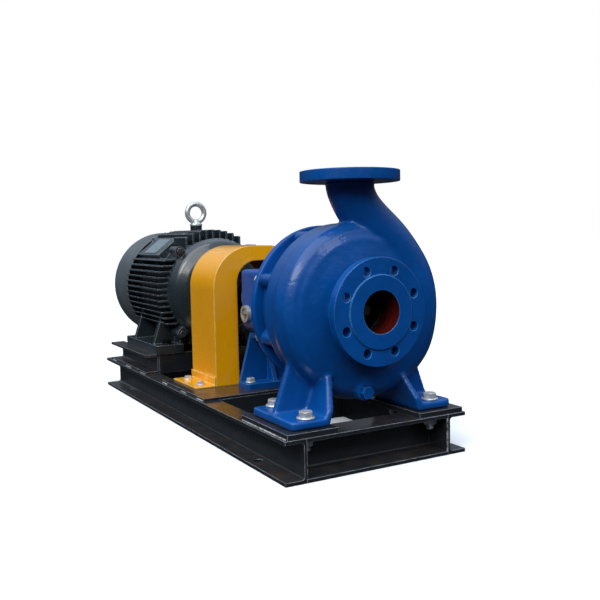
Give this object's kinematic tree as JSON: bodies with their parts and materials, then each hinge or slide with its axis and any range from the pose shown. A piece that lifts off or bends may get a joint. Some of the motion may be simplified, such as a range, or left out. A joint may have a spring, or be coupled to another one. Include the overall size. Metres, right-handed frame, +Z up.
{
  "type": "centrifugal pump set",
  "caption": "Horizontal end-suction volute pump with swan-neck discharge, guarded flexible coupling and foot-mounted finned motor on a channel base.",
  "frame": {"origin": "centre of the four foundation bolts on the underside of the base", "axes": "+Z up, +Y along the shaft from the suction flange to the motor, +X to the right seen from the suction side"},
  "size_m": [0.43, 1.182, 0.553],
  "materials": {
    "black_paint": "satin black enamel",
    "blue_paint": "gloss blue enamel over casting",
    "yellow_paint": "gloss yellow enamel",
    "motor_paint": "semi-gloss dark grey enamel",
    "zinc_steel": "zinc plated",
    "machined_steel": "ground",
    "black_steel": "black oxide",
    "cast_iron": "as cast",
    "bronze": "machined",
    "winding": "varnished copper wire",
    "lamination": "stacked sheet",
    "elastomer": "moulded",
    "seal_ring": "lapped",
    "sight_glass": "clear",
    "fan_aluminium": "cast",
    "plate_metal": "bare plate",
    "gland_nylon": "moulded"
  },
  "bodies": {
    "base": {"bearing_bracket": "blue_paint", "bearing_cover_bolts": "zinc_steel", "bearing_covers": "blue_paint", "bracket_plate": "black_paint", "cable_gland": "gland_nylon", "casing_cover": "blue_paint", "casing_gasket": "elastomer", "casing_plugs": "zinc_steel", "casing_studs": "zinc_steel", "casing_wear_ring": "bronze", "coupling_guard": "yellow_paint", "drive_end_shield": "motor_paint", "eye_bolt": "zinc_steel", "fan_cowl": "motor_paint", "front_cross_member": "black_paint", "guard_bolts": "zinc_steel", "guard_feet": "yellow_paint", "left_motor_riser": "black_paint", "left_rail": "black_paint", "motor_bearers": "black_paint", "motor_bearing_outer_rings": "machined_steel", "motor_foot_bolts": "black_steel", "motor_frame": "motor_paint", "nameplate": "plate_metal", "oil_plugs": "zinc_steel", "pump_bearing_outer_rings": "machined_steel", "pump_foot_bolts": "zinc_steel", "pump_pads": "black_paint", "rear_cross_members": "black_paint", "rear_shield": "motor_paint", "right_motor_riser": "black_paint", "right_rail": "black_paint", "seal_seat": "seal_ring", "shield_bolts": "zinc_steel", "sight_glass_pane": "sight_glass", "sight_glass_rim": "zinc_steel", "stator_core": "lamination", "stator_windings": "winding", "support_foot": "blue_paint", "support_foot_bolts": "zinc_steel", "terminal_box": "motor_paint", "terminal_box_lid": "motor_paint", "volute_casing": "blue_paint"},
    "pump_rotor": {"pump_shaft": "machined_steel", "impeller": "cast_iron", "impeller_nut": "machined_steel", "pump_keys": "machined_steel", "shaft_sleeve": "machined_steel", "seal_head": "machined_steel", "pump_bearing_inner_rings": "machined_steel", "water_deflector": "elastomer", "pump_coupling_half": "cast_iron", "coupling_spider": "elastomer"},
    "motor_rotor": {"motor_shaft": "machined_steel", "motor_key": "machined_steel", "rotor_core": "lamination", "cooling_fan": "fan_aluminium", "motor_coupling_half": "cast_iron", "motor_bearing_inner_rings": "machined_steel"}
  },
  "joints": [
    {"name": "motor_shaft_spin", "type": "hinge", "parent": "base", "child": "motor_rotor", "pos_m": [0, 0.3, 0.29], "axis": [0, 1, 0], "continuous": true},
    {"name": "pump_shaft_spin", "type": "hinge", "parent": "base", "child": "pump_rotor", "pos_m": [0, -0.2, 0.29], "axis": [0, 1, 0], "continuous": true}
  ],
  "couplings": [
    {"joint": "pump_shaft_spin", "follows": "motor_shaft_spin", "ratio": 1}
  ]
}
